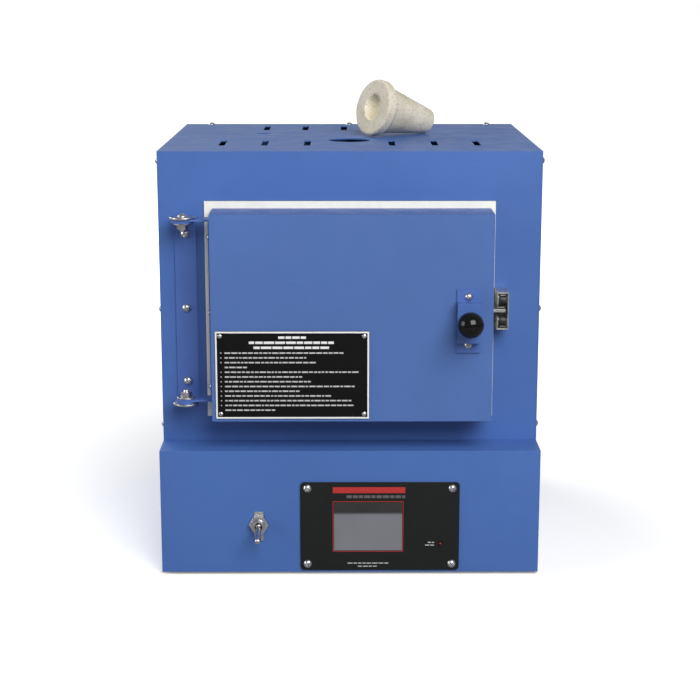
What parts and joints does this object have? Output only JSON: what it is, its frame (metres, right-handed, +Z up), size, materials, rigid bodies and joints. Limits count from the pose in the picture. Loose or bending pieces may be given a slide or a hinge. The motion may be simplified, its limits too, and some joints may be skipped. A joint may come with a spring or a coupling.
{
  "type": "bench-top pottery kiln",
  "caption": "Bench-top electric kiln: sheet-steel case on a control box, fibre firing chamber, side-hung insulated door with roller catch, touch panel, toggle switch and loose vent plug.",
  "frame": {"origin": "on the surface the kiln stands on, under the middle of its bounding box", "axes": "+Z up, -Y out of the door, +X to the right as seen from the front"},
  "size_m": [0.3926, 0.4466, 0.4939],
  "materials": {
    "case_paint": "fine-textured blue powder coat",
    "door_paint": "fine-textured blue powder coat, slightly greyer",
    "bracket_paint": "satin blue paint",
    "galvanised": "dull galvanised sheet",
    "zinc_screw": "bright zinc plate",
    "steel": "plain drawn steel",
    "fibre": "off-white vacuum-formed ceramic fibre",
    "blanket_fibre": "soft white fibre blanket",
    "element_wire": "oxidised resistance wire",
    "brass": "plain brass",
    "sheath": "unglazed ceramic",
    "refractory": "cast speckled refractory",
    "black_panel": "matt black polyester overlay",
    "screen": "dark grey touch glass, switched off",
    "board": "green circuit board",
    "led_red": "clear red lens, unlit",
    "black_plastic": "polished black phenolic",
    "black_moulding": "black moulding",
    "cream_plastic": "cream moulding",
    "lamination": "varnished laminations",
    "wire_cover": "heat-proof wire sleeve",
    "rubber": "black rubber",
    "roller_plastic": "black nylon roller",
    "label_metal": "black anodised plate with white border"
  },
  "bodies": {
    "case": {"front_top_sheet": "case_paint", "side_left": "case_paint", "side_right": "case_paint", "back_panel": "case_paint", "case_screws": "zinc_screw", "base_shell": "case_paint", "service_panel": "case_paint", "bottom_plate": "galvanised", "base_screws": "zinc_screw", "feet": "rubber", "deck": "galvanised", "blanket": "blanket_fibre", "muffle": "fibre", "muffle_back": "fibre", "rear_clamp": "galvanised", "heating_elements": "element_wire", "element_connectors": "brass", "thermocouple": "sheath", "hinge_bracket": "bracket_paint", "hinge_screws": "zinc_screw", "hinge_bolts": "zinc_screw", "hinge_nuts": "zinc_screw", "hinge_washers": "steel", "catch_housing": "steel", "catch_screws": "zinc_screw", "spring_upper": "steel", "spring_lower": "steel", "panel_overlay": "black_panel", "overlay_screws": "zinc_screw", "touch_screen": "screen", "display_module": "galvanised", "controller_board": "board", "board_standoffs": "brass", "status_led": "led_red", "toggle_switch": "steel", "toggle_plate": "steel", "toggle_nut": "zinc_screw", "relay": "black_moulding", "transformer": "lamination", "terminal_block": "cream_plastic", "fuse_holder": "black_moulding", "cable_gland": "black_moulding", "wiring": "wire_cover"},
    "door": {"door_pan": "door_paint", "door_insulation": "fibre", "door_hinge_plate": "bracket_paint", "door_hinge_screws": "zinc_screw", "handle_bracket": "bracket_paint", "handle_screws": "zinc_screw", "strike": "steel", "strike_screws": "zinc_screw", "label_plate": "label_metal", "label_rivets": "zinc_screw", "knob": "black_plastic"},
    "toggle": {"toggle_lever": "zinc_screw"},
    "carriage_up": {"carriage_upper": "steel"},
    "carriage_down": {"carriage_lower": "steel"},
    "roller_up": {"roller_upper": "roller_plastic"},
    "roller_down": {"roller_lower": "roller_plastic"},
    "plug": {"vent_plug": "refractory"}
  },
  "joints": [
    {"name": "door_hinge", "type": "hinge", "parent": "case", "child": "door", "pos_m": [-0.1665, -0.15375, 0.2725], "axis": [0, 0, -1], "range_deg": [0, 135]},
    {"name": "toggle_rock", "type": "hinge", "parent": "case", "child": "toggle", "pos_m": [-0.0934, -0.17675, 0.055], "axis": [-1, 0, 0], "range_deg": [0, 50]},
    {"name": "carriage_up_slide", "type": "slide", "parent": "case", "child": "carriage_up", "axis": [0, 0, 1], "range_m": [0, 0.0012], "stiffness_N_per_m": 400, "springref_m": -0.0005, "deforming": ["spring_upper"]},
    {"name": "roller_up_spin", "type": "hinge", "parent": "carriage_up", "child": "roller_up", "pos_m": [0.1536, -0.14875, 0.2849], "axis": [1, 0, 0], "continuous": true},
    {"name": "carriage_down_slide", "type": "slide", "parent": "case", "child": "carriage_down", "axis": [0, 0, -1], "range_m": [0, 0.0012], "stiffness_N_per_m": 400, "springref_m": -0.0005, "deforming": ["spring_lower"]},
    {"name": "roller_down_spin", "type": "hinge", "parent": "carriage_down", "child": "roller_down", "pos_m": [0.1536, -0.14875, 0.2637], "axis": [1, 0, 0], "continuous": true},
    {"name": "plug_lift", "type": "slide", "parent": "case", "child": "plug", "axis": [0, 0, 1], "range_m": [0, 0.12]}
  ]
}
